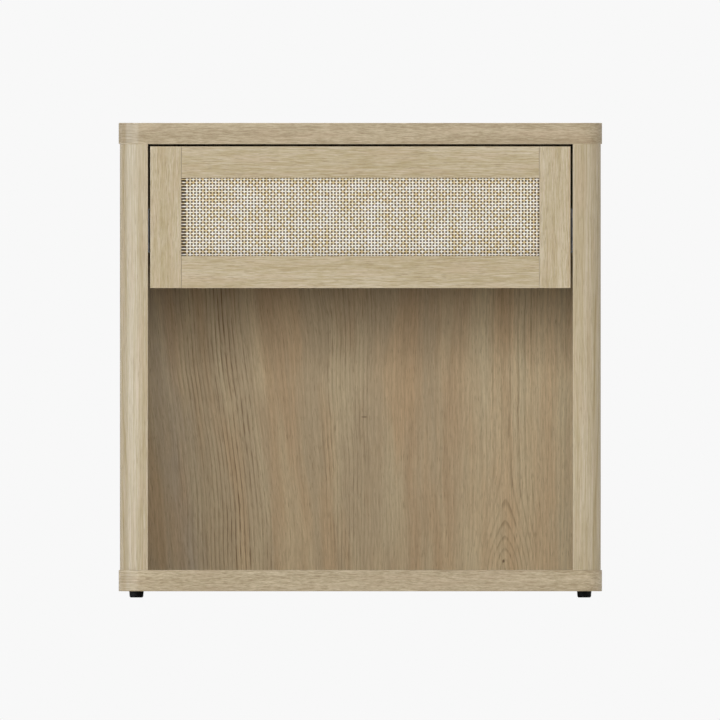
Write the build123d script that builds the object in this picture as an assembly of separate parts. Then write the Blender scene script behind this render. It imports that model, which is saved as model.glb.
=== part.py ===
from build123d import *
import os

# Bedside cabinet: a carcass of five boards with an open niche, and above the niche one inset drawer.
# The drawer front is a butt-jointed frame round woven cane, and the drawer runs on full-extension slides.
# Millimetres. X is to the right, Y to the back, Z up. The origin is on the floor, under the middle.

# Carcass
width = 500.0  # of the top and bottom boards
depth = 400.0
board = 22.0  # thickness of the top and bottom boards
side_height = 440.5
side_thickness = 29.0
overhang = 1.3  # of the boards past the sides, at the sides and in front
side_round = 24.0  # front outer corner of a side, seen from above
arris = 0.8  # softened edges of the boards
back_thickness = 5.0
back_set_in = 15.0  # from the rear edge to the back of the back panel
groove_depth = 7.0
groove_play = 0.2
snug = 0.02  # radial play of a fixing in its hole

# Glides
foot_height = 6.5
foot_radius = 7.5
foot_taper = 0.5  # how much narrower it is at the floor
foot_rim = 1.7  # rounding of its lower rim
foot_from_end = 18.4
foot_from_edge = 19.6

# Drawer front
gap = 2.3  # round the top and sides of the drawer front
front_height = 146.6
front_thickness = 18.0
stile_width = 32.3
top_rail_width = 32.7
bottom_rail_width = 33.2
front_arris = 0.5
lip = 8.0  # wood left in front of the cane
rebate = 10.0
cane_thickness = 1.6
backing_thickness = 3.0
rebate_play = 0.4

# Drawer box
box_board = 12.0
box_length = 350.0
box_above_front_edge = 7.4  # from the front's lower edge up to the lower edge of a drawer side
box_height = 117.0
bottom_thickness = 3.0
bottom_lift = 9.0  # of the drawer bottom above the lower edge of the drawer sides
bottom_groove = 6.0

# Ball slides. u runs from the cabinet side towards the drawer, v up and down from the slide's middle.
slide_gap = 12.7
slide_length = 350.0
slide_lift = 59.4  # of the slide's middle above the lower edge of the drawer front
slide_set_back = 2.0  # behind the drawer front
sheet = 1.2
cage_sheet = 0.6
ball_radius = 1.85
ball_pitch = 12.0
balls_in_row = 7
cage_length = 92.0
stop_room = 11.0  # at the rear end of the fixed member, for the stop that the moving members close against

# Places worked out from the sizes above
front_y = -depth / 2 + overhang
rear_y = depth / 2
side_bottom = foot_height + board
side_top = side_bottom + side_height
side_outer = width / 2 - overhang
side_inner = side_outer - side_thickness
back_y = rear_y - back_set_in - back_thickness
front_half = side_inner - gap
front_top = side_top - gap
front_bottom = front_top - front_height
front_back_y = front_y + front_thickness
stile_inner = front_half - stile_width
window_bottom = front_bottom + bottom_rail_width
window_top = front_top - top_rail_width
cane_y = front_y + lip
backing_y = cane_y + cane_thickness
box_outer = side_inner - slide_gap
box_inner = box_outer - box_board
box_bottom = front_bottom + box_above_front_edge
box_top = box_bottom + box_height
box_rear = front_back_y + box_length
bottom_z = box_bottom + bottom_lift
slide_z = front_bottom + slide_lift
slide_front = front_back_y + slide_set_back
slide_rear = slide_front + slide_length
dowel_y = front_y + front_thickness / 2

PLUS_X, MINUS_X = (1, 0, 0), (-1, 0, 0)
PLUS_Y, MINUS_Y = (0, 1, 0), (0, -1, 0)
PLUS_Z, MINUS_Z = (0, 0, 1), (0, 0, -1)
FROM_START = (Align.CENTER, Align.CENTER, Align.MIN)


# ---------------------------------------------------------------- helpers
def block(x, y, z):
    """A box between two values on each axis."""
    middle = Pos((x[0] + x[1]) / 2, (y[0] + y[1]) / 2, (z[0] + z[1]) / 2)
    return middle * Box(x[1] - x[0], y[1] - y[0], z[1] - z[0])


def rod(start, direction, length, radius):
    """A cylinder from start along direction."""
    return Plane(origin=start, z_dir=direction) * Cylinder(radius, length, align=FROM_START)


def cone(start, direction, length, radius, end_radius):
    """A cone from radius at start to end_radius."""
    return Plane(origin=start, z_dir=direction) * Cone(radius, end_radius, length, align=FROM_START)


def ahead(start, direction, distance):
    """The point that lies distance along direction from start."""
    return tuple(s + distance * d for s, d in zip(start, direction))


def mirrored(shape):
    """The same piece on the left."""
    return mirror(shape, about=Plane.YZ)


def both(shapes):
    """The pieces on the right and their mirror images on the left."""
    return list(shapes) + [mirrored(shape) for shape in shapes]


def cross_recess(start, direction, reach):
    """The cutter for a cross slot in a screw's or cam's face."""
    arm, slot, deep = 2 * reach, 0.34 * reach, 0.6 * reach
    cross = Box(arm, slot, deep, align=FROM_START) + Box(slot, arm, deep, align=FROM_START)
    return Plane(origin=start, z_dir=direction) * cross


def countersunk(start, direction, length, radius, head_radius, play=0.0):
    """A countersunk screw whose flat head is at start. With play it is the cutter for its hole."""
    head = cone(start, direction, head_radius - radius, head_radius + play, radius + play)
    point = 1.5 * radius
    shank = rod(start, direction, length - point, radius + play)
    tip_start = ahead(start, direction, length - point)
    tip = cone(tip_start, direction, point, radius + play, 0.3 * radius + play)
    screw = head + shank + tip
    if play:
        return screw
    return screw - cross_recess(start, direction, 0.55 * head_radius)


# ---------------------------------------------------------------- fixings of the right-hand joints
cam_bolt_y = (-140.0, 130.0)
carcass_dowel_y = (-95.0, 85.0)
carcass_screw_y = (-140.0, 130.0)
bolt_depth = 9.0  # of a bolt's axis under the face that its cam is let into
cam_axis_x = side_inner + bolt_depth
side_middle_x = side_inner + side_thickness / 2
cam_drop = 34.0  # from a board's end to the middle of its cam
cam_radius = 7.5
cam_depth = 13.0
bolt_in_board = 11.5
bolt_radius = 3.0
dowel_radius = 4.0
dowel_in_board = 12.0
dowel_length = 30.0
carcass_screw_length = 50.0


def cam(face, direction, radius, deep, bolt_depth, bolt_direction, slot_radius):
    """A cam lock, let in from a face along direction, with a slot for its bolt at bolt_depth."""
    body = rod(face, direction, deep, radius - snug)
    slot_start = ahead(ahead(face, direction, bolt_depth), bolt_direction, -0.45 * radius)
    body -= rod(slot_start, bolt_direction, 2 * radius, slot_radius)
    return body - cross_recess(face, direction, 0.6 * radius)


def cam_bolt(start, direction, in_board, reach, radius):
    """A bolt that is screwed into a board at start and reaches to the middle of its cam."""
    thread = rod(ahead(start, direction, -in_board), direction, in_board, radius)
    collar = rod(start, direction, 1.5, radius)
    shaft = rod(start, direction, reach, 0.75 * radius)
    head = rod(ahead(start, direction, reach - 2.5), direction, 2.5, radius)
    return thread + collar + shaft + head


def carcass_cams():
    faces = [(side_inner, y, side_top - cam_drop) for y in cam_bolt_y]
    slot_radius = bolt_radius + 0.5
    return [cam(face, PLUS_X, cam_radius, cam_depth, bolt_depth, PLUS_Z, slot_radius) for face in faces]


def carcass_cam_pockets():
    pockets = []
    for y in cam_bolt_y:
        pockets.append(rod((side_inner, y, side_top - cam_drop), PLUS_X, cam_depth + 0.2, cam_radius))
        pockets.append(rod((cam_axis_x, y, side_top), MINUS_Z, cam_drop, bolt_radius + 1))
    return pockets


def carcass_bolts():
    return [
        cam_bolt((cam_axis_x, y, side_top), MINUS_Z, bolt_in_board, cam_drop, bolt_radius)
        for y in cam_bolt_y
    ]


def carcass_bolt_holes():
    return [
        rod((cam_axis_x, y, side_top), PLUS_Z, bolt_in_board + 0.5, bolt_radius + snug)
        for y in cam_bolt_y
    ]


def carcass_dowels(play=0.0):
    """Two dowels in each end of a side, or with play the cutters for their holes."""
    dowels = []
    in_side = dowel_length - dowel_in_board
    for y in carcass_dowel_y:
        top_end = (side_middle_x, y, side_top - in_side - 10 * play)
        bottom_end = (side_middle_x, y, side_bottom - dowel_in_board - 10 * play)
        for start in (top_end, bottom_end):
            dowels.append(rod(start, PLUS_Z, dowel_length + 20 * play, dowel_radius + play))
    if play:
        return dowels
    return [chamfer(dowel.edges().filter_by(GeomType.CIRCLE), 1.0) for dowel in dowels]


def carcass_screws(play=0.0):
    """Countersunk screws up through the bottom board into a side."""
    return [
        countersunk((side_middle_x, y, foot_height), PLUS_Z, carcass_screw_length, 3.0, 5.0, play)
        for y in carcass_screw_y
    ]


# ---------------------------------------------------------------- carcass boards
def end_board(z):
    """The plain top or bottom board: its two front corners are round in plan."""
    outline = Rectangle(width, depth)
    front_corners = outline.vertices().filter_by(lambda corner: corner.Y < 0)
    outline = fillet(front_corners, side_round + overhang)
    plate = Pos(0, 0, z) * extrude(outline, board)
    rims = plate.edges().group_by(Axis.Z)
    return fillet(rims[0] + rims[-1], arris)


def back_groove(z, toward):
    """The stopped groove for the back panel in an end board."""
    reach = side_inner + groove_depth
    z_range = sorted((z, z + toward * groove_depth))
    return block((-reach, reach), (back_y, back_y + back_thickness + groove_play), z_range)


def top_board():
    cutters = both(carcass_bolt_holes()) + both(carcass_dowels(snug))
    return end_board(side_top) - [back_groove(side_top, 1)] - cutters


def bottom_board():
    cutters = both(carcass_dowels(snug)) + both(carcass_screws(snug)) + all_foot_screws(snug)
    return end_board(foot_height) - [back_groove(side_bottom, -1)] - cutters


def right_side():
    """A thick side, with a large round on its front outer corner."""
    with BuildSketch() as plan:
        with Locations((side_middle_x, (front_y + rear_y) / 2)):
            Rectangle(side_thickness, rear_y - front_y)
        front = plan.vertices().sort_by(Axis.Y)[:2].sort_by(Axis.X)
        fillet(front[1], side_round)
        inner = plan.vertices().sort_by(Axis.Y)[0]
        fillet(inner, arris)
    panel = Pos(0, 0, side_bottom) * extrude(plan.sketch, side_height)
    groove = block(
        (side_inner - 1, side_inner + groove_depth),
        (back_y, back_y + back_thickness + groove_play),
        (side_bottom - 1, side_top + 1),
    )
    cutters = carcass_cam_pockets() + carcass_dowels(snug) + carcass_screws(snug) + slide_screws(snug)
    return panel - [groove] - cutters


def back_panel():
    reach = side_inner + groove_depth - 0.5
    return block(
        (-reach, reach),
        (back_y + groove_play / 2, back_y + groove_play / 2 + back_thickness),
        (side_bottom - groove_depth, side_top + groove_depth - 0.5),
    )


# ---------------------------------------------------------------- glides
foot_x = width / 2 - foot_from_end
foot_places = {
    "front_left": (-foot_x, -depth / 2 + foot_from_edge),
    "front_right": (foot_x, -depth / 2 + foot_from_edge),
    "back_left": (-foot_x, depth / 2 - foot_from_edge),
    "back_right": (foot_x, depth / 2 - foot_from_edge),
}
foot_counterbore = 3.2
foot_screw_radius = 1.5
foot_screw_length = 15.0


def foot(x, y):
    """A moulded glide, a little narrower at the floor, with its screw sunk in it."""
    body = cone((x, y, 0), PLUS_Z, foot_height, foot_radius - foot_taper, foot_radius)
    body = fillet(body.edges().filter_by(GeomType.CIRCLE).sort_by(Axis.Z)[0], foot_rim)
    body -= rod((x, y, 0), PLUS_Z, foot_counterbore, 3.6)
    return body - rod((x, y, 0), PLUS_Z, foot_height, foot_screw_radius + snug)


def foot_screw(x, y, play=0.0):
    seat = (x, y, foot_counterbore)
    shank = rod(seat, PLUS_Z, foot_screw_length, foot_screw_radius + play)
    if play:
        return shank
    head = rod(seat, MINUS_Z, 1.8, 3.0)
    head = fillet(head.edges().sort_by(Axis.Z)[0], 0.9)
    return head + shank - cross_recess((x, y, foot_counterbore - 1.8), PLUS_Z, 1.5)


def all_foot_screws(play=0.0):
    return [foot_screw(x, y, play) for x, y in foot_places.values()]


# ---------------------------------------------------------------- ball slides, on the right
def slide_x(u):
    return side_inner - u


def channel(web_u, open_u, half, thickness, start_y, length, lip_to=None):
    """A pressed channel along Y. Its web is at web_u and its flanges reach open_u, where they may turn in."""
    inward = thickness if open_u > web_u else -thickness
    tip = [(open_u, half), (open_u, half - thickness)]
    if lip_to:
        lip_u = open_u - inward
        tip = [(open_u, half), (open_u, lip_to), (lip_u, lip_to), (lip_u, half - thickness)]
    upper = [(web_u, half)] + tip + [(web_u + inward, half - thickness)]
    lower = [(u, -v) for u, v in reversed(upper)]
    corners = [(slide_x(u), start_y, slide_z + v) for u, v in upper + lower]
    section = make_face(Polyline(*corners, close=True))
    member = extrude(section, length, dir=PLUS_Y)
    return fillet(member.edges().filter_by(Axis.Y), 0.42 * thickness)


outer_half, middle_half, inner_half = 22.75, 17.2, 11.7
outer_ball_v = (outer_half - sheet + middle_half) / 2
inner_ball_v = (middle_half - sheet + inner_half) / 2
outer_ball_u, inner_ball_u = 5.4, 7.4
slide_screw_y = (-150.0, -20.0, 130.0)
runner_screw_y = (-150.0, 0.0, 135.0)
fixed_slot_y = (-118.0, 60.0)
runner_slot_y = (-110.0, 30.0)
slot_length, slot_radius = 12.0, 2.2
lever_y = 90.0
lever_length = 60.0
lever_u = (8.4, 11.1)
rivet_head_u = 8.0
rivet_radius = 1.5


def slide_screws(play=0.0):
    """The screws that hold the fixed member to the cabinet side."""
    return [countersunk((slide_x(sheet), y, slide_z), PLUS_X, 15.0, 1.7, 3.4, play) for y in slide_screw_y]


def runner_screws(play=0.0):
    """The screws that hold the moving member to the drawer side."""
    start_x = slide_x(slide_gap - sheet)
    return [countersunk((start_x, y, slide_z), MINUS_X, 10.5, 1.7, 3.4, play) for y in runner_screw_y]


def adjusting_slots(u, places):
    """Cutters for the long holes in a slide's web."""
    slot = extrude(Plane.YZ * SlotOverall(slot_length, 2 * slot_radius), 2 * sheet, both=True)
    return [Pos(slide_x(u), y, slide_z) * slot for y in places]


def fixed_member():
    member = channel(0, 10.2, outer_half, sheet, slide_front, slide_length, lip_to=18.6)
    return member - (slide_screws(snug) + adjusting_slots(0, fixed_slot_y))


def middle_member():
    length = slide_length - 3 - stop_room
    member = channel(2.6, 11.3, middle_half, sheet, slide_front + 3, length, lip_to=12.9)
    access = [rod((slide_x(0), y, slide_z), MINUS_X, 6, 4.2) for y in slide_screw_y]
    return member - access


def runner_member():
    member = channel(slide_gap, 5.2, inner_half, sheet, slide_front, slide_length - stop_room)
    return member - (runner_screws(snug) + [lever_rivet(snug)] + adjusting_slots(slide_gap, runner_slot_y))


def rear_stop():
    """The moulded stop in the rear end of the fixed member, with a hollow to give it some spring."""
    x_range = (slide_x(8.5), slide_x(sheet))
    y_range = (slide_rear - stop_room + 0.5, slide_rear - 1.5)
    body = block(x_range, y_range, (slide_z - 13, slide_z + 13))
    body = fillet(body.edges().filter_by(Axis.X), 1.5)
    through = (x_range[0] - 1, x_range[1] + 1)
    hollow = block(through, (y_range[0] + 2.5, y_range[1] - 2), (slide_z - 9, slide_z + 9))
    return body - hollow


def ball_places(u, v):
    """The middles of two rows of balls, one above and one below."""
    first = (slide_front + slide_rear) / 2 - ball_pitch * (balls_in_row - 1) / 2
    rows = [first + ball_pitch * n for n in range(balls_in_row)]
    return [(slide_x(u), y, slide_z + side * v) for side in (-1, 1) for y in rows]


def balls(u, v):
    return [Pos(*place) * Sphere(ball_radius) for place in ball_places(u, v)]


def cage(web_u, open_u, u, v):
    """The strip that keeps the balls apart, with a hole for each."""
    start = (slide_front + slide_rear - cage_length) / 2
    strip = channel(web_u, open_u, v + cage_sheet / 2, cage_sheet, start, cage_length)
    holes = [rod((x, y, z - 1), PLUS_Z, 2, ball_radius + 0.2) for x, y, z in ball_places(u, v)]
    return strip - holes


def outer_cage():
    return cage(1.6, 8.0, outer_ball_u, outer_ball_v)


def inner_cage():
    return cage(4.2, 9.6, inner_ball_u, inner_ball_v)


def lever_rivet(play=0.0):
    """The pivot of the release lever. Its shank is riveted in the moving member's web."""
    shank = rod((slide_x(slide_gap), lever_y, slide_z), PLUS_X, slide_gap - rivet_head_u, rivet_radius + play)
    if play:
        return shank
    return shank + rod((slide_x(rivet_head_u), lever_y, slide_z), PLUS_X, 0.6, 2.6)


def release_lever():
    """The plastic lever that frees the drawer from its slide, with a hooked nose and a finger tab."""
    low, high = lever_y - lever_length / 2, lever_y + lever_length / 2
    x_range = (slide_x(lever_u[1]), slide_x(lever_u[0]))
    arm = block(x_range, (low, high), (slide_z - 2.6, slide_z + 2.6))
    tab = block(x_range, (low, low + 14), (slide_z - 2.6, slide_z + 5.0))
    nose = block(x_range, (high - 8, high), (slide_z - 5.0, slide_z + 2.6))
    lever = fillet((arm + tab + nose).edges().filter_by(Axis.X), 1.0)
    lever += rod((x_range[0], lever_y, slide_z), PLUS_X, lever_u[1] - lever_u[0], 4.0)
    return lever - rod((x_range[0] - 1, lever_y, slide_z), PLUS_X, 8, rivet_radius + 0.06)


# ---------------------------------------------------------------- drawer
box_cam_z = (front_bottom + 28.0, front_bottom + 100.0)
box_cam_radius = 6.0
box_cam_depth = 9.5
box_bolt_radius = 2.5
box_cam_back = 24.0  # behind the front end of a drawer side
box_middle_x = box_inner + box_board / 2
frame_dowel_radius = 2.5
frame_dowel_length = 30.0
frame_dowel_rise = (6.0, 14.0)  # from the outer edge of a rail
back_screw_z = (front_bottom + 29.0, front_bottom + 100.0)


def soften_front(member):
    """Softens the edges round a frame member's front face."""
    return fillet(member.edges().group_by(Axis.Y)[0], front_arris)


def backing_rebate():
    """The room behind the lip for the cane and its backing."""
    return block(
        (-stile_inner - rebate, stile_inner + rebate),
        (cane_y, front_back_y + 1),
        (window_bottom - rebate, window_top + rebate),
    )


def bottom_slot():
    """The groove that the drawer bottom lies in, round the front and sides."""
    reach = box_inner + bottom_groove + 0.3
    return block(
        (-reach, reach),
        (front_back_y - bottom_groove - 0.3, box_rear + 1),
        (bottom_z, bottom_z + bottom_thickness + 0.2),
    )


def frame_dowels(play=0.0):
    """The dowels between a stile and the rails."""
    extra = 10 * play
    heights = [front_bottom + rise for rise in frame_dowel_rise]
    heights += [front_top - rise for rise in frame_dowel_rise]
    start_x = stile_inner - frame_dowel_length / 2 - extra
    dowels = [
        rod((start_x, dowel_y, z), PLUS_X, frame_dowel_length + 2 * extra, frame_dowel_radius + play)
        for z in heights
    ]
    if play:
        return dowels
    return [chamfer(dowel.edges().filter_by(GeomType.CIRCLE), 0.7) for dowel in dowels]


def box_bolts():
    start_y = front_back_y
    return [
        cam_bolt((box_middle_x, start_y, z), PLUS_Y, 10.0, box_cam_back, box_bolt_radius) for z in box_cam_z
    ]


def box_bolt_holes():
    return [rod((box_middle_x, front_back_y, z), MINUS_Y, 10.5, box_bolt_radius + snug) for z in box_cam_z]


def box_cams():
    faces = [(box_outer, front_back_y + box_cam_back, z) for z in box_cam_z]
    slot_radius = box_bolt_radius + 0.5
    return [
        cam(face, MINUS_X, box_cam_radius, box_cam_depth, box_board / 2, MINUS_Y, slot_radius)
        for face in faces
    ]


def box_cam_pockets():
    pockets = []
    for z in box_cam_z:
        pocket_start = (box_outer, front_back_y + box_cam_back, z)
        pockets.append(rod(pocket_start, MINUS_X, box_cam_depth + 0.2, box_cam_radius))
        pockets.append(rod((box_middle_x, front_back_y, z), PLUS_Y, box_cam_back, 3.2))
    return pockets


def right_stile():
    member = block((stile_inner, front_half), (front_y, front_back_y), (front_bottom, front_top))
    cutters = [backing_rebate(), bottom_slot()] + frame_dowels(snug) + box_bolt_holes()
    return soften_front(member) - cutters


def rail(low, high):
    member = block((-stile_inner, stile_inner), (front_y, front_back_y), (low, high))
    return soften_front(member) - ([backing_rebate(), bottom_slot()] + both(frame_dowels(snug)))


def cane_mat():
    """The woven mat, as the flat sheet that it fills."""
    reach = stile_inner + rebate - rebate_play
    z_range = (window_bottom - rebate + rebate_play, window_top + rebate - rebate_play)
    return block((-reach, reach), (cane_y, backing_y), z_range)


def backing_board():
    reach = stile_inner + rebate - rebate_play
    z_range = (window_bottom - rebate + rebate_play, window_top + rebate - rebate_play)
    return block((-reach, reach), (backing_y, backing_y + backing_thickness), z_range)


def back_screws(play=0.0):
    """The screws through a drawer side into the end of the drawer back."""
    y = box_rear - box_board / 2
    return [countersunk((box_outer, y, z), MINUS_X, 40.0, 2.0, 4.0, play) for z in back_screw_z]


def right_drawer_side():
    member = block((box_inner, box_outer), (front_back_y, box_rear), (box_bottom, box_top))
    member = fillet(member.edges().filter_by(Axis.Y).group_by(Axis.Z)[-1], arris)
    cutters = [bottom_slot()] + box_cam_pockets() + back_screws(snug) + runner_screws(snug)
    return member - cutters


def drawer_back():
    z_range = (bottom_z + bottom_thickness, box_top)
    member = block((-box_inner, box_inner), (box_rear - box_board, box_rear), z_range)
    member = fillet(member.edges().filter_by(Axis.X).group_by(Axis.Z)[-1], arris)
    return member - both(back_screws(snug)) - bottom_screws(snug)


def drawer_bottom():
    reach = box_inner + bottom_groove
    z_range = (bottom_z, bottom_z + bottom_thickness)
    panel = block((-reach, reach), (front_back_y - bottom_groove, box_rear), z_range)
    return panel - bottom_screws(snug)


def bottom_screws(play=0.0):
    """The screws up through the drawer bottom into the drawer back."""
    y = box_rear - box_board / 2
    return [
        countersunk((x, y, bottom_z), PLUS_Z, 18.0, 1.6, 3.2, play) for x in (-130.0, 0.0, 130.0)
    ]


# ---------------------------------------------------------------- every node and its pieces
right_pieces = {
    "side_panel": right_side(),
    "slide_fixed_member": fixed_member(),
    "slide_middle_member": middle_member(),
    "slide_runner": runner_member(),
    "outer_ball_cage": outer_cage(),
    "inner_ball_cage": inner_cage(),
    "release_lever": release_lever(),
    "slide_rear_stop": rear_stop(),
    "drawer_front_stile": right_stile(),
    "drawer_side": right_drawer_side(),
}
right_groups = {
    "outer_balls": balls(outer_ball_u, outer_ball_v),
    "inner_balls": balls(inner_ball_u, inner_ball_v),
}

nodes = {
    "top_board": [top_board()],
    "bottom_board": [bottom_board()],
    "back_panel": [back_panel()],
    "drawer_front_top_rail": [rail(window_top, front_top)],
    "drawer_front_bottom_rail": [rail(front_bottom, window_bottom)],
    "cane_mat": [cane_mat()],
    "cane_backing_board": [backing_board()],
    "drawer_back": [drawer_back()],
    "drawer_bottom": [drawer_bottom()],
    "carcass_cams": both(carcass_cams()),
    "carcass_cam_bolts": both(carcass_bolts()),
    "carcass_dowels": both(carcass_dowels()),
    "carcass_screws": both(carcass_screws()),
    "foot_screws": all_foot_screws(),
    "slide_screws": both(slide_screws()),
    "runner_screws": both(runner_screws()),
    "lever_rivets": both([lever_rivet()]),
    "drawer_frame_dowels": both(frame_dowels()),
    "drawer_cams": both(box_cams()),
    "drawer_cam_bolts": both(box_bolts()),
    "drawer_back_screws": both(back_screws()),
    "drawer_bottom_screws": bottom_screws(),
}
for name, place in foot_places.items():
    nodes[f"foot_{name}"] = [foot(*place)]
for name, piece in right_pieces.items():
    nodes[f"right_{name}"] = [piece]
    nodes[f"left_{name}"] = [mirrored(piece)]
for name, pieces in right_groups.items():
    nodes[f"right_{name}"] = pieces
    nodes[f"left_{name}"] = [mirrored(piece) for piece in pieces]

os.makedirs("parts", exist_ok=True)
for name, pieces in nodes.items():
    solids = [solid for piece in pieces for solid in piece.solids()]
    export_step(solids[0] if len(solids) == 1 else Compound(solids), f"parts/{name}.step")
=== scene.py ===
import math

import bpy
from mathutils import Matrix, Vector


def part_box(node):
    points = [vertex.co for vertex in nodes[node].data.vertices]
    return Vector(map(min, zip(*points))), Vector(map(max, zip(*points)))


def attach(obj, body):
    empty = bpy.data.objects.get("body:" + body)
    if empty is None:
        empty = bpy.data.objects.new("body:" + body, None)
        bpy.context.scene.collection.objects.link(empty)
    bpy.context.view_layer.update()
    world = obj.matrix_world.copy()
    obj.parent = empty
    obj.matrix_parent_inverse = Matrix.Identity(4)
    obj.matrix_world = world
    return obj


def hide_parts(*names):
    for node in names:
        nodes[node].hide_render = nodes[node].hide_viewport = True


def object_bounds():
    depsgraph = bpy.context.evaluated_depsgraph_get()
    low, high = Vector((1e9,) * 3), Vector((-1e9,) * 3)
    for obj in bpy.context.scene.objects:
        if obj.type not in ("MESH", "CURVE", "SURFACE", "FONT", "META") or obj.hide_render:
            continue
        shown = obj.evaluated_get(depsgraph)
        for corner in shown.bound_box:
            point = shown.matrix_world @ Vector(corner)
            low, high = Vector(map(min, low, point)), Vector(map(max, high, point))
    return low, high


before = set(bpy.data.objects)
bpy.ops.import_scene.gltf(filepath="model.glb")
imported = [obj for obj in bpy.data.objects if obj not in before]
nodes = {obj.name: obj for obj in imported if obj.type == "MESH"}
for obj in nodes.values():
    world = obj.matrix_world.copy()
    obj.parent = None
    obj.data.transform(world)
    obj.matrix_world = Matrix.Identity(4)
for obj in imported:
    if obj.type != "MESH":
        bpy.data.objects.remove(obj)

# Looks for a bedside cabinet in pale oak, with one drawer behind woven cane.
# Metres, in the same frame as the solid model: x to the right, y to the back, z up.

cadBox = [list(corner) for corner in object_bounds()]


class Wire:
    # one socket's value, so that node maths reads as a sum
    def __init__(self, net, socket):
        self.net = net
        self.socket = socket

    def math(self, operation, first, second=0.0):
        return self.net.make("ShaderNodeMath", {"operation": operation}, {0: first, 1: second})

    def __add__(self, other):
        return self.math("ADD", self, other)

    def __radd__(self, other):
        return self.math("ADD", other, self)

    def __sub__(self, other):
        return self.math("SUBTRACT", self, other)

    def __rsub__(self, other):
        return self.math("SUBTRACT", other, self)

    def __mul__(self, other):
        return self.math("MULTIPLY", self, other)

    def __rmul__(self, other):
        return self.math("MULTIPLY", other, self)

    def __truediv__(self, other):
        return self.math("DIVIDE", self, other)

    def __rtruediv__(self, other):
        return self.math("DIVIDE", other, self)

    def __pow__(self, other):
        return self.math("POWER", self, other)

    def __abs__(self):
        return self.math("ABSOLUTE", self)

    def fraction(self):
        return self.math("FRACT", self)

    def capped(self):
        return self.math("MINIMUM", self, 1.0)

    def swing(self):
        # a noise's value above or below its middle
        return self - 0.5


class Net:
    # one node tree, of a material or of geometry nodes
    def __init__(self, tree):
        self.tree = tree

    def make(self, kind, settings=None, sockets=None, out=0):
        node = self.tree.nodes.new(kind)
        for name, value in (settings or {}).items():
            if name == "stops":
                self.setStops(node.color_ramp.elements, value)
            else:
                setattr(node, name, value)
        for key, value in (sockets or {}).items():
            if isinstance(value, Wire):
                self.tree.links.new(value.socket, node.inputs[key])
            else:
                node.inputs[key].default_value = value
        return Wire(self, node.outputs[out]) if len(node.outputs) else node

    def setStops(self, elements, stops):
        while len(elements) < len(stops):
            elements.new(1.0)
        for element, (position, color) in zip(elements, stops):
            element.position = position
            element.color = color

    def split(self, vector):
        node = self.make("ShaderNodeSeparateXYZ", sockets={0: vector}).socket.node
        return [Wire(self, output) for output in node.outputs]

    def join(self, x, y, z):
        return self.make("ShaderNodeCombineXYZ", sockets={0: x, 1: y, 2: z})

    def place(self):
        # the point's x, y and z
        return self.split(self.make("ShaderNodeTexCoord", out="Object"))

    def facing(self):
        # the way the surface faces, as x, y and z
        return self.split(self.make("ShaderNodeTexCoord", out="Normal"))

    def noise(self, point, detail=2.0, roughness=0.5, scale=1.0):
        sockets = {"Vector": point, "Scale": scale, "Detail": detail, "Roughness": roughness}
        return self.make("ShaderNodeTexNoise", None, sockets)

    def marks(self, point, size, detail=2.0, roughness=0.5):
        # noise drawn out along the grain; size is a mark's length and width
        along, across, through = point
        length, width = size
        return self.noise(self.join(along / length, across / width, through / width), detail, roughness)

    def ease(self, value, low, high, first=0.0, last=1.0, kind="SMOOTHSTEP"):
        settings = {"interpolation_type": kind, "clamp": True}
        return self.make("ShaderNodeMapRange", settings, {0: value, 1: low, 2: high, 3: first, 4: last})

    def ramp(self, value, stops):
        return self.make("ShaderNodeValToRGB", {"stops": stops}, {"Fac": value})

    def mixColor(self, factor, first, second, kind="MIX"):
        settings = {"data_type": "RGBA", "blend_type": kind, "clamp_factor": True}
        return self.make("ShaderNodeMix", settings, {0: factor, 6: first, 7: second}, out=2)

    def bump(self, height, distance):
        return self.make("ShaderNodeBump", None, {"Height": height, "Distance": distance})

    def finish(self, sockets):
        surface = self.make("ShaderNodeBsdfPrincipled", None, sockets)
        self.make("ShaderNodeOutputMaterial", None, {"Surface": surface})


def screenColor(red, green, blue):
    # a colour as a screen shows it, 0 to 255, turned into light values by the sRGB curve
    light = []
    for part in (red, green, blue):
        share = part / 255
        light.append(share / 12.92 if share <= 0.04045 else ((share + 0.055) / 1.055) ** 2.4)
    return (*light, 1.0)


def startMaterial(name):
    material = bpy.data.materials.new(name)
    material.use_nodes = True
    material.node_tree.nodes.clear()
    return material, Net(material.node_tree)


def dress(material, *names):
    # gives CAD nodes a material through their slots
    for name in names:
        for slot in nodes[name].material_slots:
            slot.material = material


# Oak, as a foil or veneer: pale wood, tan streaks, short flecks, fine pores and a faint blush.
# A pair of sizes is a mark's length and width. A span is where a noise starts to show and shows fully.
oak = {
    "pale": (210, 197, 172),
    "tan": (174, 156, 116),
    "sway": (0.16, 0.05), "swayBy": 0.004,
    "streak": (0.030, 0.0012), "streakShare": 0.45,
    "fleck": (0.012, 0.0007), "fleckShare": 0.35,
    "broad": (0.30, 0.011), "broadShare": 0.2,
    "toneSpan": (0.36, 0.64),
    "blushes": (0.07, 0.009), "blushSpan": (0.45, 0.7), "blushShare": 0.3, "blush": (199, 177, 150),
    "pores": (0.009, 0.0006), "poreSpan": (0.58, 0.68), "poreShare": 0.55, "pore": (141, 120, 88),
    # a lighter line along every edge: a painted highlight where the rounded arrises catch the light
    "arris": 0.0011, "arrisShare": 0.35, "arrisHighlight": (218, 203, 175),
    "seam": (0.0001, 0.0007), "seamShare": 0.5, "seamColor": (118, 98, 68),
    "flatSpan": (0.55, 0.75),  # how squarely a face looks out where it has the board's figure
    "roughness": 0.22, "fleckRough": 0.14, "poreRough": 0.15, "arrisRough": 0.08,
    "relief": 0.00005, "fleckRise": 0.4, "poreDip": 0.7,
}
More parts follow.
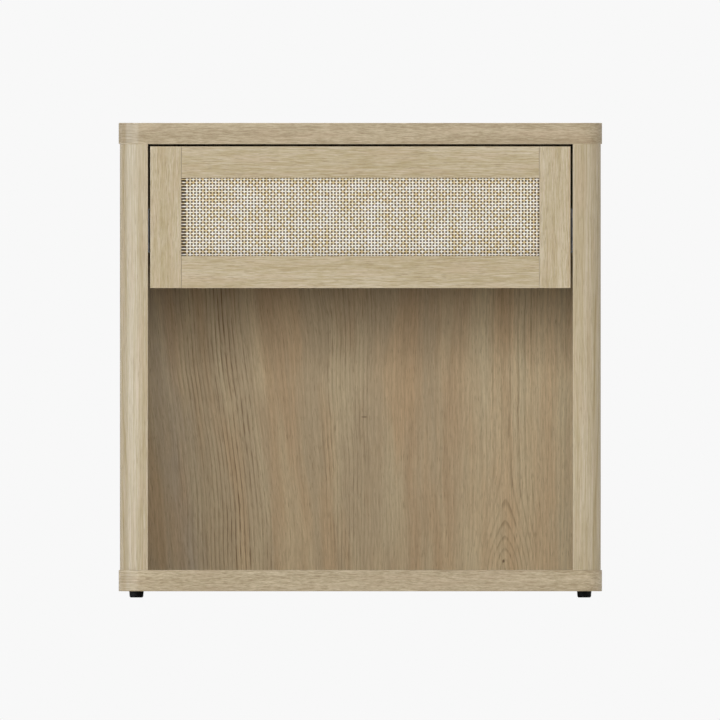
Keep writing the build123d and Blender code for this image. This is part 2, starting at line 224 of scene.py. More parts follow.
# the band round the edges of the top and bottom boards, whose grain runs round the board
edgeBand = {
    **oak,
    "pale": (204, 189, 160),
    "tan": (138, 117, 85),
    "streak": (0.014, 0.0011),
    "fleck": (0.006, 0.0007),
    "pores": (0.008, 0.0008),
    "ripples": 22.0, "rippleBy": 0.0022,  # how many there are in a metre, and how high
    "markShift": (0.4, 0.3), "rippleShift": 0.9,  # how far they move from one board to the next
}
# the same band for the bottom board, painted lighter: painted light that makes up for the dimmer light low
# on the cabinet
lightenedLowerBand = {**edgeBand, "pale": (216, 201, 171), "tan": (148, 127, 94)}
# the wide faces of the top board and the sides, whose marks run longer
wideFace = {
    **oak,
    "pale": (208, 195, 171),
    "tan": (171, 153, 113),
    "broad": (0.60, 0.016),
    "streak": (0.16, 0.0020),
    "fleck": (0.035, 0.0009),
    "pores": (0.013, 0.0005),
}
# plain-sawn figure: rings close into arches beyond the heart, as long as the first number of the arch
# and as wide as the second, and run straight outside them; point is 1 for a sharp tip and 2 for a round one
topFigure = {
    "heart": (0.03, -0.24),
    "arch": (0.46, 0.085),
    "point": 1.7,
    "blunt": 0.002,
    "ringGap": 0.0085,
    "wander": 1.1,
    "lineStart": 0.45,
    "ringShare": 0.38,
    "marksLose": 0.5,  # how much of the rings' share the plain marks give up
}
rightFigure = {
    **topFigure,
    "heart": (0.02, 0.02),
    "arch": (0.40, 0.065),
    "ringGap": 0.0090,
    "ringShare": 0.32,
}
leftFigure = {
    **topFigure,
    "heart": (-0.04, 0.05),
    "arch": (0.36, 0.060),
    "ringShare": 0.32,
}
# what all the rings share
ringShape = {
    "bend": (6.0, 18.0), "bendSlice": 3.0,  # how fast they wander along and across the grain
    "drift": 35.0, "driftSlice": 5.0,  # how fast their gaps change from ring to ring
    "darkest": 0.88, "endsFrom": 0.90,  # as shares of a gap
}
boardShift = (0.37, 0.211, 0.173)  # how far the pattern moves in the grain's axes from one board to the next


def grainAxes(net, grain, seed):
    # the point as along, across and through the grain, moved so that no two boards match
    x, y, z = net.place()
    point = {"x": (x, y, z), "y": (y, x, z), "z": (z, x, y)}[grain]
    return [value + shift * seed for value, shift in zip(point, boardShift)]


def ringLines(net, across, along, look):
    # growth rings: each line darkens slowly and ends sharply
    side = across - look["heart"][0]
    start = look["heart"][1]
    length, width = look["arch"]
    left = net.ease(along, start, start + length, 1.0, 0.0, "LINEAR")
    up = (1.0 - left * left) * width
    point = look["point"]
    reach = (abs(side) ** point + (up + look["blunt"]) ** point) ** (1 / point)
    bendAlong, bendAcross = ringShape["bend"]
    bend = net.noise(net.join(along * bendAlong, across * bendAcross, ringShape["bendSlice"]))
    drift = net.noise(net.join(reach * ringShape["drift"], ringShape["driftSlice"], 0.0), detail=1)
    turn = (reach / look["ringGap"] + (bend + drift) * look["wander"]).fraction()
    ends = net.ease(turn, ringShape["endsFrom"], 1.0)
    return net.ease(turn, look["lineStart"], ringShape["darkest"]) * (1.0 - ends)


def arrisLine(net, name, width):
    # 1 along the edges of a board's box, fading to 0 within the width
    low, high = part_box(name)
    near = []
    for value, least, most in zip(net.place(), low, high):
        gap = (most - least) / 2 - abs(value - (most + least) / 2)
        near.append(1.0 - net.ease(gap, 0.0, width))
    first, second, third = near
    return (first * second + second * third + third * first).capped()


def oakMarks(net, point, look):
    # how tan and how open-pored the wood is at a point, and its fleck
    streak = net.marks(point, look["streak"], detail=4, roughness=0.68)
    broad = net.marks(point, look["broad"])
    fleck = net.marks(point, look["fleck"], detail=3, roughness=0.7)
    pores = net.ease(net.marks(point, look["pores"], detail=1), *look["poreSpan"])
    tone = streak * look["streakShare"] + fleck * look["fleckShare"] + broad * look["broadShare"]
    return tone, pores, fleck


def bandMarks(net, band, seed):
    # the same for a band that runs round a board's edges, slightly wavy
    x, y, z = net.place()
    ripplePoint = net.join(x * band["ripples"], y * band["ripples"], band["rippleShift"] * seed)
    ripple = net.noise(ripplePoint).swing() * band["rippleBy"]
    alongShift, throughShift = band["markShift"]
    return oakMarks(net, ((x + y) + seed * alongShift, z + ripple, seed * throughShift), band)


def oakFinish(node, grain, seed, look=oak, figure=None, seamAt=None, band=None):
    material, net = startMaterial("oak_" + node)
    along, across, through = grainAxes(net, grain, seed)
    swayLength, swayWidth = look["sway"]
    swayPoint = net.join(along / swayLength, across / swayWidth, through / swayWidth)
    across = across + net.noise(swayPoint).swing() * look["swayBy"]
    point = (along, across, through)
    marks = oakMarks(net, point, look)
    pale, tan = screenColor(*look["pale"]), screenColor(*look["tan"])
    x, y, z = net.place()
    if figure:
        # the wide faces have the board's own figure, the rest has plain grain
        slope = net.facing()[{"x": 2, "z": 0}[grain]]
        flat = net.ease(abs(slope), *look["flatSpan"])
    if band:
        marks = [edge + (wide - edge) * flat for edge, wide in zip(bandMarks(net, band, seed), marks)]
        pale = net.mixColor(flat, screenColor(*band["pale"]), pale)
        tan = net.mixColor(flat, screenColor(*band["tan"]), tan)
    tone, pores, fleck = marks
    tone = net.ease(tone, *look["toneSpan"])
    if figure:
        rings = ringLines(net, y, {"x": x, "z": z}[grain], figure) * flat
        tone = tone * (1.0 - figure["ringShare"] * figure["marksLose"]) + rings * figure["ringShare"]
    color = net.mixColor(tone, pale, tan)
    blush = net.ease(net.marks(point, look["blushes"]), *look["blushSpan"])
    color = net.mixColor(blush * look["blushShare"], color, screenColor(*look["blush"]))
    color = net.mixColor(pores * look["poreShare"], color, screenColor(*look["pore"]))
    # painted highlight: the edges are painted lighter, and made a little rougher
    nearEdge = arrisLine(net, node, look["arris"])
    color = net.mixColor(nearEdge * look["arrisShare"], color, screenColor(*look["arrisHighlight"]))
    if seamAt:
        # the hairline where a rail butts against a stile
        seam = 1.0 - net.ease(abs(abs(x) - seamAt), *look["seam"])
        color = net.mixColor(seam * look["seamShare"], color, screenColor(*look["seamColor"]))
    rough = fleck.swing() * look["fleckRough"] + pores * look["poreRough"] + nearEdge * look["arrisRough"]
    net.finish({
        "Base Color": color,
        "Roughness": look["roughness"] + rough,
        "Normal": net.bump(fleck * look["fleckRise"] - pores * look["poreDip"], look["relief"]),
    })
    return material


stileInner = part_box("right_drawer_front_stile")[0].x
boards = {
    "top_board": {"grain": "x", "look": wideFace, "figure": topFigure, "band": edgeBand},
    "bottom_board": {"grain": "x", "look": wideFace, "figure": topFigure, "band": lightenedLowerBand},
    "right_side_panel": {"grain": "z", "look": wideFace, "figure": rightFigure},
    "left_side_panel": {"grain": "z", "look": wideFace, "figure": leftFigure},
    "right_drawer_front_stile": {"grain": "z", "seamAt": stileInner},
    "left_drawer_front_stile": {"grain": "z", "seamAt": stileInner},
    "drawer_front_top_rail": {"grain": "x", "seamAt": stileInner},
    "drawer_front_bottom_rail": {"grain": "x", "seamAt": stileInner},
}
print("oak boards")
for seed, (node, facts) in enumerate(boards.items(), start=1):
    dress(oakFinish(node, seed=seed, **facts), node)


# The back panel: browner, with broad colour bands, dark close lines on the left and one pointed arch
# low on the right. Its own figure is in the same terms as the boards'.
back = {
    "heart": (0.150, 0.030),
    "arch": (0.105, 0.0245),
    "point": 1.6,
    "blunt": 0.0010,
    "ringGap": 0.0044,
    "wander": 0.8,
    "lineStart": 0.52,
    "ringColor": (112, 84, 52),
    "lean": 0.095, "leanSpan": (-0.10, 0.06),  # the left side's lines slope, as a share of their height
    "sway": (7.0, 5.0), "swayBy": 0.018, "swaySpan": (0.02, 0.12), "swayAtRight": 0.35,
    "edgeWaves": (30.0, 9.0), "edgeWavesSlice": 1.0, "edgeWavesBy": 0.035,  # of the colour bands
    "edgeMarks": (0.07, 0.005), "edgeMarksBy": 0.06,
    "patchSpan": (0.45, 0.70),
    "fleck": (0.018, 0.0008), "fleckShare": 0.6,
    "streak": (0.10, 0.0024), "streakShare": 0.4,
    "tintSpan": (0.32, 0.68), "tintBy": 0.36,
    "pores": (0.010, 0.0005), "poreSpan": (0.60, 0.72), "poreShare": 0.45, "pore": (120, 98, 70),
    "knotSpan": (0.4, 1.1), "knotColor": (88, 62, 38),
    "plain": (190, 172, 141), "plainBehind": 0.72, "behindSpan": (0.5, 0.6),  # the rear face is calmer
    "roughness": 0.42, "fleckRough": 0.12, "poreRough": 0.1,
    "relief": 0.00006, "fleckRise": 0.4, "poreDip": 0.6,
}
bandColors = {
    "grey": (204, 190, 166),
    "base": (204, 186, 154),
    "warm": (205, 180, 145),
    "light": (224, 208, 173),
    "blush": (225, 201, 163),
}
# share of the way across from the left, and the colour there; the bands grow lighter towards the right,
# partly the panel's own colour bands and partly painted shade on the left, where the left side panel shades
# it
bands = [
    (0.0, "base"), (0.06, "grey"), (0.11, "base"), (0.24, "base"), (0.30, "warm"), (0.325, "warm"),
    (0.37, "base"), (0.47, "base"), (0.56, "base"), (0.62, "warm"), (0.66, "base"), (0.70, "warm"),
    (0.785, "light"), (0.83, "blush"), (0.87, "light"), (0.93, "blush"), (0.97, "light"), (1.0, "light"),
]
# the same, for how dark the ring lines are
ringStrength = [
    (0.0, 0.0), (0.05, 0.1), (0.08, 0.5), (0.14, 0.65), (0.20, 0.95), (0.24, 0.7), (0.26, 0.1),
    (0.38, 0.08), (0.42, 0.55), (0.5, 0.4), (0.54, 0.08), (0.77, 0.1), (0.805, 0.38), (0.88, 0.45),
    (0.91, 0.15), (1.0, 0.1),
]
# blotches drawn out along the grain
patches = [
    {"size": (0.15, 0.026), "shift": 0.0, "color": (216, 186, 146), "share": 0.5},
    {"size": (0.17, 0.020), "shift": 0.7, "color": (228, 214, 178), "share": 0.45},
]
# where the ring lines come and go, and the least of them that shows
ringFades = [
    {"size": (0.12, 0.014), "span": (0.3, 0.65), "least": 0.4},
    {"size": (0.020, 0.0016), "span": (0.36, 0.60), "least": 0.3},
]
# where, half its width and height, how dark
knots = [
    {"at": (0.1482, 0.0377), "size": (0.0016, 0.0022), "share": 0.7},
    {"at": (0.0040, 0.1868), "size": (0.0036, 0.0010), "share": 0.55},
]


def backFinish():
    material, net = startMaterial("oak_back")
    x, y, z = net.place()
    low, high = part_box("back_panel")
    swayX, swayZ = back["sway"]
    sway = net.noise(net.join(x * swayX, 0.0, z * swayZ)).swing() * back["swayBy"]
    lean = net.ease(x, *back["leanSpan"], back["lean"], 0.0) * (z - (low.z + high.z) / 2)
    across = x + lean + sway * net.ease(x, *back["swaySpan"], 1.0, back["swayAtRight"])
    point = (z, across, y)

    # colour bands with wandering edges, and the blotches
    waveX, waveZ = back["edgeWaves"]
    waves = net.noise(net.join(x * waveX, back["edgeWavesSlice"], z * waveZ)).swing() * back["edgeWavesBy"]
    waves = waves + net.marks(point, back["edgeMarks"]).swing() * back["edgeMarksBy"]
    share = (across - low.x) / (high.x - low.x) + waves
    color = net.ramp(share, [(at, screenColor(*bandColors[name])) for at, name in bands])
    for patch in patches:
        patchPoint = (z + patch["shift"], across, y)
        where = net.ease(net.marks(patchPoint, patch["size"], detail=1), *back["patchSpan"])
        color = net.mixColor(where * patch["share"], color, screenColor(*patch["color"]))

    # ring lines, then fleck, pores and knots
    rings = ringLines(net, across, z, back)
    rings = rings * net.ramp(share, [(at, (value, value, value, 1.0)) for at, value in ringStrength])
    for fade in ringFades:
        rings = rings * net.ease(net.marks(point, fade["size"]), *fade["span"], fade["least"], 1.0)
    color = net.mixColor(rings, color, screenColor(*back["ringColor"]))
    fleck = net.marks(point, back["fleck"], detail=3, roughness=0.65)
    streak = net.marks(point, back["streak"])
    tint = net.ease(fleck * back["fleckShare"] + streak * back["streakShare"], *back["tintSpan"])
    color = net.mixColor(tint * back["tintBy"], color, screenColor(*back["ringColor"]))
    pores = net.ease(net.marks(point, back["pores"], detail=1), *back["poreSpan"])
    color = net.mixColor(pores * back["poreShare"], color, screenColor(*back["pore"]))
    for knot in knots:
        wide, tall = knot["size"]
        side, up = (x - knot["at"][0]) / wide, (z - knot["at"][1]) / tall
        spot = 1.0 - net.ease((side * side + up * up) ** 0.5, *back["knotSpan"])
        color = net.mixColor(spot * knot["share"], color, screenColor(*back["knotColor"]))
    behind = net.ease(net.facing()[1], *back["behindSpan"])
    color = net.mixColor(behind * back["plainBehind"], color, screenColor(*back["plain"]))
    net.finish({
        "Base Color": color,
        "Roughness": back["roughness"] + fleck.swing() * back["fleckRough"] + pores * back["poreRough"],
        "Normal": net.bump(fleck * back["fleckRise"] - pores * back["poreDip"], back["relief"]),
    })
    return material


print("back panel")
dress(backFinish(), "back_panel")

# The drawer's box is foil-faced board, plainer and greyer than the outside.
boxBoard = {
    **oak,
    "pale": (204, 194, 174),
    "tan": (189, 175, 148),
    "pore": (160, 142, 112),
    "blushShare": 0.2,
    # the painted highlight along the edges
    "arrisHighlight": (214, 202, 180),
    "roughness": 0.38,
}
print("drawer box")
boxBoards = {"right_drawer_side": "y", "left_drawer_side": "y", "drawer_back": "x", "drawer_bottom": "y"}
for seed, (node, grain) in enumerate(boxBoards.items(), start=21):
    dress(oakFinish(node, grain, seed=seed, look=boxBoard), node)


def namesWith(*ends):
    return [name for name in nodes if name.endswith(ends)]


# what the speckled finishes share: moulded plastic, cast metal, painted board, bare dowels
speck = {
    "blotchSpan": (0.35, 0.65),
    "grainSpan": (0.4, 0.7), "grainShare": 0.3,
    "blotchRough": 0.15, "grainRough": 0.1,
}
# blotches and grain are how many there are in a metre; on holds the ends of the nodes' names
speckled = {
    "black_plastic": {
        "color": (7, 7, 8), "other": (12, 12, 13), "blotches": 160.0, "grain": 2600.0,
        "roughness": 0.5, "metallic": 0.0, "relief": 0.00005, "shine": 0.2,
        "on": ("release_lever", "rear_stop", "foot_front_left", "foot_front_right", "foot_back_left",
               "foot_back_right"),
    },
    # the board behind the cane: its own brown, darkened as painted shade for the holes in the weave
    "dark_backing": {
        "color": (48, 25, 8), "other": (36, 18, 6), "blotches": 220.0, "grain": 1800.0,
        "roughness": 0.75, "metallic": 0.0, "relief": 0.00005, "shine": 0.3,
        "on": ("cane_backing_board",),
    },
    "die_cast_zinc": {
        "color": (158, 160, 163), "other": (128, 130, 134), "blotches": 260.0, "grain": 3200.0,
        "roughness": 0.45, "metallic": 1.0, "relief": 0.00004, "shine": 0.5,
        "on": ("_cams",),
    },
    "ball_steel": {
        "color": (214, 216, 218), "other": (196, 198, 202), "blotches": 500.0, "grain": 4000.0,
        "roughness": 0.12, "metallic": 1.0, "relief": 0.000005, "shine": 0.5,
        "on": ("_balls",),
    },
    "bare_beech": {
        "color": (214, 184, 146), "other": (196, 160, 118), "blotches": 240.0, "grain": 3000.0,
        "roughness": 0.6, "metallic": 0.0, "relief": 0.00004, "shine": 0.4,
        "on": ("_dowels",),
    },
}


def speckFinish(name, look):
    # soft blotches, fine grain and a little relief
    material, net = startMaterial(name)
    place = net.make("ShaderNodeTexCoord", out="Object")
    blotch = net.noise(place, detail=3, scale=look["blotches"])
    grain = net.noise(place, scale=look["grain"])
    color, other = screenColor(*look["color"]), screenColor(*look["other"])
    color = net.mixColor(net.ease(blotch, *speck["blotchSpan"]), color, other)
    color = net.mixColor(net.ease(grain, *speck["grainSpan"]) * speck["grainShare"], color, other)
    rough = blotch.swing() * speck["blotchRough"] + grain.swing() * speck["grainRough"]
    net.finish({
        "Base Color": color,
        "Roughness": look["roughness"] + rough,
        "Metallic": look["metallic"],
        "Specular IOR Level": look["shine"],
        "Normal": net.bump(grain, look["relief"]),
    })
    return material


# what rolled strip and drawn wire share: clouds and lines in a metre, and how much each shows
drawn = {
    "clouds": 90.0, "cloudShare": 0.7, "cloudRough": 0.2,
    "linesAcross": 2600.0, "linesAlong": 30.0, "lineShare": 0.3, "lineRough": 0.12,
    "tintSpan": (0.38, 0.62),
}
zincPlated = {
    "zinc_sheet": {
        "color": (205, 208, 212), "other": (184, 186, 188), "roughness": 0.30, "relief": 0.00002,
        "on": ("_member", "_runner", "_cage"),
    },
    "zinc_screws": {
        "color": (210, 210, 206), "other": (182, 180, 170), "roughness": 0.26, "relief": 0.00002,
        "on": ("_screws", "_bolts", "_rivets"),
    },
}


def drawnMetal(name, look):
    # fine lines along y, cloudy plating
    material, net = startMaterial(name)
    x, y, z = net.place()
    clouds, linesAcross, linesAlong = drawn["clouds"], drawn["linesAcross"], drawn["linesAlong"]
    cloud = net.noise(net.join(x * clouds, y * clouds, z * clouds), detail=3)
    lines = net.noise(net.join(x * linesAcross, y * linesAlong, z * linesAcross))
    tint = net.ease(cloud * drawn["cloudShare"] + lines * drawn["lineShare"], *drawn["tintSpan"])
    rough = cloud.swing() * drawn["cloudRough"] + lines.swing() * drawn["lineRough"]
    net.finish({
        "Base Color": net.mixColor(tint, screenColor(*look["color"]), screenColor(*look["other"])),
        "Roughness": look["roughness"] + rough,
        "Metallic": 1.0,
        "Normal": net.bump(lines, look["relief"]),
    })
    return material


print("hardware")
for name, look in speckled.items():
    dress(speckFinish(name, look), *namesWith(*look["on"]))
for name, look in zincPlated.items():
    dress(drawnMetal(name, look), *namesWith(*look["on"]))


weave = {
    "acrossPitch": 0.00329,  # from one upright strand to the next
    "upPitch": 0.00311,
    "width": 0.00165,
    "thickness": 0.00062,
    "wave": 0.00034,  # from the mat's middle to a strand's middle at a crossing
    "wobble": 0.00044,  # how far a strand may wander sideways
    "wobbleNoise": (120, 500, 7),  # how fast that changes along a strand, between strands and by direction
    "swell": 0.3, "thinnest": 0.85,  # as shares of the width
    "swellNoise": (260, 900, 3),
    "stepsPerCrossing": 4,
    "sides": 6,
    "seed": 7,
    "missingAtLeft": 4,
}
cane = {
    "ivory": (255, 251, 243),
    "straw": (226, 203, 150),
    "toneSpan": (0.60, 1.06),
    "ownNoise": 380.0, "ownApart": 400.0, "ownShare": 1.1,  # each strand's own marks
    "broadNoise": 45.0, "broadSlice": 2.0, "broadShare": 0.45,
    # strands are painted whiter where they rise to the front: a painted highlight on the crests
    "strandShare": 0.26, "crestHighlightShare": 0.35,
    # painted shade: brown where a strand dips behind a crossing and where its sides turn away from the front
    "dipShade": (164, 106, 44), "dipShadeSpan": (-0.1, -1.1), "dipShadeShare": 0.65,
    "turnedShadeSpan": (0.25, 0.8), "turnedShadeShare": 0.55,
    "amber": (186, 146, 82), "amberShare": 0.6,
    "amberNoise": 150.0, "amberApart": 90.0, "amberSlice": 4.0, "amberSpan": (0.70, 0.80),
    "fibreNoise": 900.0, "fibreApart": 70.0,
    "roughness": 0.46, "fibreRough": 0.2, "relief": 0.00004,
}


def addInput(tree, name, kind):
    return tree.interface.new_socket(name=name, in_out="INPUT", socket_type=kind).identifier


def strandTree(material):
    # one direction's strands, side by side, each waving over and under the crossing ones
    tree = bpy.data.node_groups.new("strands", "GeometryNodeTree")
    kinds = {
        "Strands": "NodeSocketInt", "Crossings": "NodeSocketInt", "Steps": "NodeSocketInt",
        "Pitch": "NodeSocketFloat", "Crossing Pitch": "NodeSocketFloat", "Width": "NodeSocketFloat",
        "Thickness": "NodeSocketFloat", "Wave": "NodeSocketFloat", "Wobble": "NodeSocketFloat",
        "Turn": "NodeSocketFloat", "Place": "NodeSocketVector", "Seed": "NodeSocketInt",
    }
    sockets = {name: addInput(tree, name, kind) for name, kind in kinds.items()}
    tree.interface.new_socket(name="Geometry", in_out="OUTPUT", socket_type="NodeSocketGeometry")
    net = Net(tree)
    group = tree.nodes.new("NodeGroupInput")
    given = {name: Wire(net, group.outputs[name]) for name in kinds}
    count, crossings = given["Strands"], given["Crossings"]
    pitch, crossPitch = given["Pitch"], given["Crossing Pitch"]

    # a point for each strand, with its own random number and which side it starts on
    first = (count - 1) * pitch * -0.5
    line = net.make("GeometryNodeMeshLine", {"mode": "OFFSET"}, {
        "Count": count, "Start Location": net.join(0.0, first, 0.0), "Offset": net.join(0.0, pitch, 0.0)})
    index = net.make("GeometryNodeInputIndex")
    chance = net.make("FunctionNodeRandomValue", {"data_type": "FLOAT"}, {
        "ID": index, "Seed": given["Seed"]}, out=1)
    odd = net.make("ShaderNodeMath", {"operation": "MODULO"}, {0: index, 1: 2.0})
    line = net.make("GeometryNodeStoreNamedAttribute", {"data_type": "FLOAT", "domain": "POINT"}, {
        "Geometry": line, "Name": "strand", "Value": chance})
    line = net.make("GeometryNodeStoreNamedAttribute", {"data_type": "FLOAT", "domain": "POINT"}, {
        "Geometry": line, "Name": "side", "Value": 1.0 - odd * 2.0})

    # the straight strand, cut into short steps
    half = crossings * crossPitch * 0.5
    straight = net.make("GeometryNodeCurvePrimitiveLine", {"mode": "POINTS"}, {
        "Start": net.join(half * -1.0, 0.0, 0.0), "End": net.join(half, 0.0, 0.0)})
    straight = net.make("GeometryNodeResampleCurve", {"mode": "COUNT"}, {
        "Curve": straight, "Count": crossings * given["Steps"] + 1})
    strands = net.make("GeometryNodeInstanceOnPoints", None, {"Points": line, "Instance": straight})
    strands = net.make("GeometryNodeRealizeInstances", None, {"Geometry": strands})

    # over and under, with a little sideways wander
    position = net.make("GeometryNodeInputPosition")
    x, y, z = net.split(position)
    side = net.make("GeometryNodeInputNamedAttribute", {"data_type": "FLOAT"}, {"Name": "side"})
    strand = net.make("GeometryNodeInputNamedAttribute", {"data_type": "FLOAT"}, {"Name": "strand"})
    angle = (x / crossPitch + (crossings - 1) * 0.5) * math.pi
    rise = net.make("ShaderNodeMath", {"operation": "COSINE"}, {0: angle})
    rise = rise * side * given["Turn"] * given["Wave"]
    own = (x, strand, given["Turn"])
    wobblePoint = net.join(*(value * scale for value, scale in zip(own, weave["wobbleNoise"])))
    wobble = net.noise(wobblePoint).swing() * given["Wobble"]
    strands = net.make("GeometryNodeSetPosition", None, {
        "Geometry": strands, "Offset": net.join(0.0, wobble, rise)})
    strands = net.make("GeometryNodeSetCurveNormal", {"mode": "Z_UP"}, {"Curve": strands})

    # a flattened round section, thicker in places
    swellPoint = net.join(*(value * scale for value, scale in zip(own, weave["swellNoise"])))
    swell = net.noise(swellPoint, detail=1) * weave["swell"] + weave["thinnest"]
    profile = net.make("GeometryNodeCurvePrimitiveCircle", {"mode": "RADIUS"}, {
        "Resolution": weave["sides"], "Radius": 0.5})
    profile = net.make("GeometryNodeTransform", None, {
        "Geometry": profile, "Scale": net.join(given["Width"], given["Thickness"], 1.0)})
    strands = net.make("GeometryNodeSetCurveRadius", None, {"Curve": strands, "Radius": swell})
    body = net.make("GeometryNodeCurveToMesh", None, {
        "Curve": strands, "Profile Curve": profile, "Fill Caps": True})
    body = net.make("GeometryNodeSetShadeSmooth", None, {"Geometry": body})

    # turned for the upright strands, then stood up in the drawer front
    quarter = (given["Turn"] - 1) * (-math.pi / 4)
    body = net.make("GeometryNodeTransform", None, {
        "Geometry": body, "Rotation": net.join(0.0, 0.0, quarter)})
    body = net.make("GeometryNodeTransform", None, {
        "Geometry": body, "Rotation": net.join(math.pi / 2, 0.0, 0.0), "Translation": given["Place"]})
    body = net.make("GeometryNodeRealizeInstances", None, {"Geometry": body})
    body = net.make("GeometryNodeSetMaterial", None, {"Geometry": body, "Material": material})
    net.make("NodeGroupOutput", None, {"Geometry": body})
    return tree, sockets


def grow(name, tree, sockets, values):
    # runs a tree once and keeps its result as a plain mesh
    holder = bpy.data.objects.new(name, bpy.data.meshes.new(name))
    bpy.context.scene.collection.objects.link(holder)
    modifier = holder.modifiers.new("build", "NODES")
    modifier.node_group = tree
    for key, value in values.items():
        modifier[sockets[key]] = value
    bpy.context.view_layer.update()
    evaluated = holder.evaluated_get(bpy.context.evaluated_depsgraph_get())
    mesh = bpy.data.meshes.new_from_object(evaluated)
    holder.modifiers.remove(modifier)
    holder.data = mesh
    return holder


def caneFinish(name, middle):
    # ivory where a strand rises to the front, a painted highlight, straw in between; brown where it dips and
    # where its sides turn away, painted shade; a few amber spots
    material, net = startMaterial(name)
    x, y, z = net.place()
    strand = net.make("ShaderNodeAttribute", {"attribute_name": "strand"}, out="Fac")
    rise = (middle.y - y) / (weave["wave"] + weave["thickness"] / 2)
    own = net.noise(net.join(x * cane["ownNoise"], strand * cane["ownApart"], z * cane["ownNoise"]))
    broad = net.noise(net.join(x * cane["broadNoise"], cane["broadSlice"], z * cane["broadNoise"]))
    tone = own * cane["ownShare"] + broad * cane["broadShare"]
    # the strand's own tone, plus a painted highlight that makes the crests whiter
    tone = tone + strand * cane["strandShare"] - rise * cane["crestHighlightShare"]
    ivory, straw = screenColor(*cane["ivory"]), screenColor(*cane["straw"])
    color = net.mixColor(net.ease(tone, *cane["toneSpan"]), ivory, straw)
    # painted shade in the dips and on the sides turned away from the front
    dipShade = net.ease(rise, *cane["dipShadeSpan"], 0.0, cane["dipShadeShare"])
    turned = net.ease(abs(net.facing()[1]), *cane["turnedShadeSpan"], cane["turnedShadeShare"], 0.0)
    color = net.mixColor((dipShade + turned).capped(), color, screenColor(*cane["dipShade"]))
    amberAcross = strand * cane["amberApart"] + cane["amberSlice"]
    amber = net.noise(net.join(x * cane["amberNoise"], amberAcross, z * cane["amberNoise"]), detail=1)
    amber = net.ease(amber, *cane["amberSpan"]) * cane["amberShare"]
    color = net.mixColor(amber, color, screenColor(*cane["amber"]))
    fibre = net.noise(net.join(x * cane["fibreNoise"], strand * cane["fibreApart"], z * cane["fibreNoise"]))
    net.finish({
        "Base Color": color,
        "Roughness": cane["roughness"] + fibre.swing() * cane["fibreRough"],
        "Normal": net.bump(fibre, cane["relief"]),
    })
    return material


def weaveCane():
    low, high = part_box("cane_mat")
    size = high - low
    middle = (low + high) / 2
    across = int(size.x / weave["acrossPitch"])
    up = int(size.z / weave["upPitch"])
    tree, sockets = strandTree(caneFinish("cane", middle))
    shared = {
        "Steps": weave["stepsPerCrossing"], "Width": weave["width"], "Thickness": weave["thickness"],
        "Wave": weave["wave"], "Wobble": weave["wobble"], "Place": middle, "Seed": weave["seed"],
    }
    weft = grow("cane_level_strands", tree, sockets, {
        **shared, "Strands": up, "Crossings": across, "Pitch": weave["upPitch"],
        "Crossing Pitch": weave["acrossPitch"], "Turn": 1.0})
    # the first upright strands are left out, an even number so that over and under still fit
    missing = weave["missingAtLeft"]
    warp = grow("cane_upright_strands", tree, sockets, {
        **shared, "Strands": across - missing, "Crossings": up, "Pitch": weave["acrossPitch"],
        "Crossing Pitch": weave["upPitch"], "Turn": -1.0,
        "Place": middle + Vector((weave["acrossPitch"] * missing / 2, 0, 0))})
    for piece in (weft, warp):
        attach(piece, "drawer")
        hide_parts("cane_mat")
        print(piece.name, len(piece.data.vertices), "points")


print("woven cane")
weaveCane()


stage = {
    "floorHalf": 3.5,
    "floorFade": (1.2, 3.2),  # the floor fades into the backdrop between these distances
    "floorColor": (236, 235, 233), "speckDarker": 4, "specks": 3.0,
    "floorRoughness": 0.7,
    "backdrop": (248, 248, 248),
    "ambient": 0.33,
}
lamps = {
    # each is a softbox: where it hangs, its width and height, how bright its face is, and whether it
    # lights matt surfaces and shows in glossy ones
    "key": {
        "place": (-0.28, -4.2, 0.80), "size": (1.9, 0.95), "glow": 15.0, "color": (1.0, 1.0, 1.0),
        "matt": True, "gloss": False,
    },
    "leftSheen": {
        "place": (-1.60, -1.14, 0.30), "size": (2.2, 1.3), "glow": 2.7, "color": (0.86, 0.96, 1.05),
        "matt": False, "gloss": True,
    },
    "overhead": {
        "place": (0.2, 0.75, 2.2), "size": (1.8, 1.8), "glow": 3.8, "color": (1.0, 1.0, 1.0),
        "matt": True, "gloss": True,
    },
    "rearRight": {
        "place": (1.9, 2.2, 0.9), "size": (1.5, 1.5), "glow": 3.2, "color": (1.0, 1.0, 1.0),
        "matt": True, "gloss": False,
    },
    "rearLeft": {
        "place": (-1.9, 1.4, 0.9), "size": (1.5, 1.5), "glow": 4.6, "color": (1.0, 1.0, 1.0),
        "matt": True, "gloss": False,
    },
}


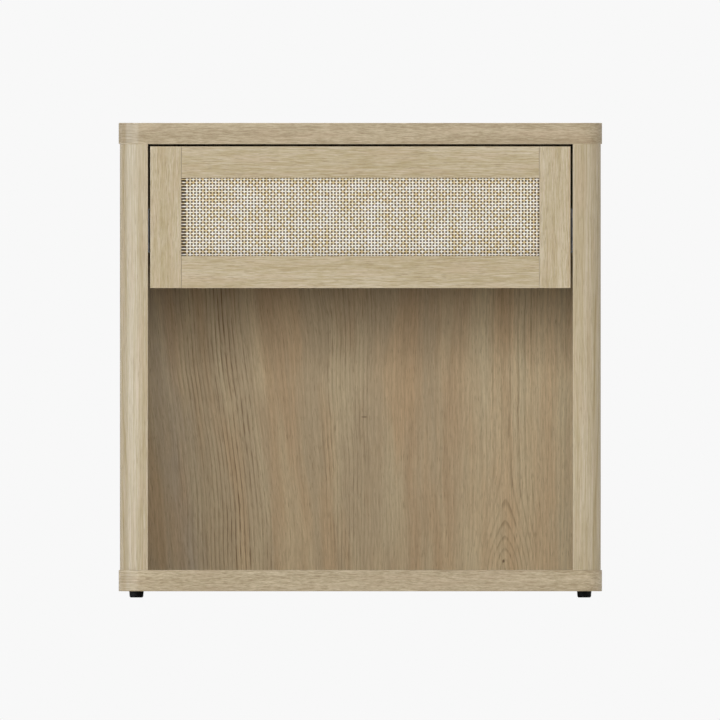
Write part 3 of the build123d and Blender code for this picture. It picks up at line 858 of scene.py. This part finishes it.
def makeFloor():
    material, net = startMaterial("floor")
    place = net.make("ShaderNodeTexCoord", out="Object")
    specks = net.noise(place, detail=3, scale=stage["specks"])
    base = screenColor(*stage["floorColor"])
    darker = screenColor(*[part - stage["speckDarker"] for part in stage["floorColor"]])
    x, y, z = net.place()
    near = net.ease((x * x + y * y) ** 0.5, *stage["floorFade"], 1.0, 0.0)
    net.finish({
        "Base Color": net.mixColor(specks, base, darker),
        "Roughness": stage["floorRoughness"],
        "Alpha": near,
    })
    half = stage["floorHalf"]
    mesh = bpy.data.meshes.new("floor")
    corners = [(-half, -half, 0), (half, -half, 0), (half, half, 0), (-half, half, 0)]
    mesh.from_pydata(corners, [], [(0, 1, 2, 3)])
    mesh.materials.append(material)
    floor = bpy.data.objects.new("floor", mesh)
    bpy.context.scene.collection.objects.link(floor)


def makeWorld():
    world = bpy.data.worlds.new("studio")
    bpy.context.scene.world = world
    world.use_nodes = True
    world.node_tree.nodes.clear()
    net = Net(world.node_tree)
    seen = net.make("ShaderNodeBackground", None, {
        "Color": screenColor(*stage["backdrop"]), "Strength": 1.0})
    lit = net.make("ShaderNodeBackground", None, {
        "Color": (1.0, 1.0, 1.0, 1.0), "Strength": stage["ambient"]})
    direct = net.make("ShaderNodeLightPath", out="Is Camera Ray")
    both = net.make("ShaderNodeMixShader", None, {0: direct, 1: lit, 2: seen})
    net.make("ShaderNodeOutputWorld", None, {"Surface": both})


def makeLamps(target):
    for name, lamp in lamps.items():
        data = bpy.data.lights.new(name, "AREA")
        data.shape = "RECTANGLE"
        data.size, data.size_y = lamp["size"]
        data.energy = lamp["glow"] * math.pi * data.size * data.size_y
        data.color = lamp["color"]
        light = bpy.data.objects.new(name, data)
        light.location = lamp["place"]
        light.rotation_euler = (target - light.location).to_track_quat("-Z", "Y").to_euler()
        light.visible_camera = False
        light.visible_diffuse = lamp["matt"]
        light.visible_glossy = lamp["gloss"]
        bpy.context.scene.collection.objects.link(light)


view = {
    "width": 0.7448,  # how much of the scene the frame takes in
    "away": 3.0,
    "right": -0.00036,  # from the cabinet's middle
    "up": 0.0002,
}


def makeCamera(target):
    data = bpy.data.cameras.new("front")
    data.type = "ORTHO"
    data.ortho_scale = view["width"]
    camera = bpy.data.objects.new("front", data)
    camera.location = target + Vector((view["right"], -view["away"], view["up"]))
    camera.rotation_euler = (math.pi / 2, 0, 0)
    bpy.context.scene.collection.objects.link(camera)
    bpy.context.scene.camera = camera


print("stage")
middle = (Vector(cadBox[0]) + Vector(cadBox[1])) / 2
makeFloor()
makeWorld()
makeLamps(middle)
makeCamera(middle)
bpy.context.scene.view_settings.view_transform = "Standard"
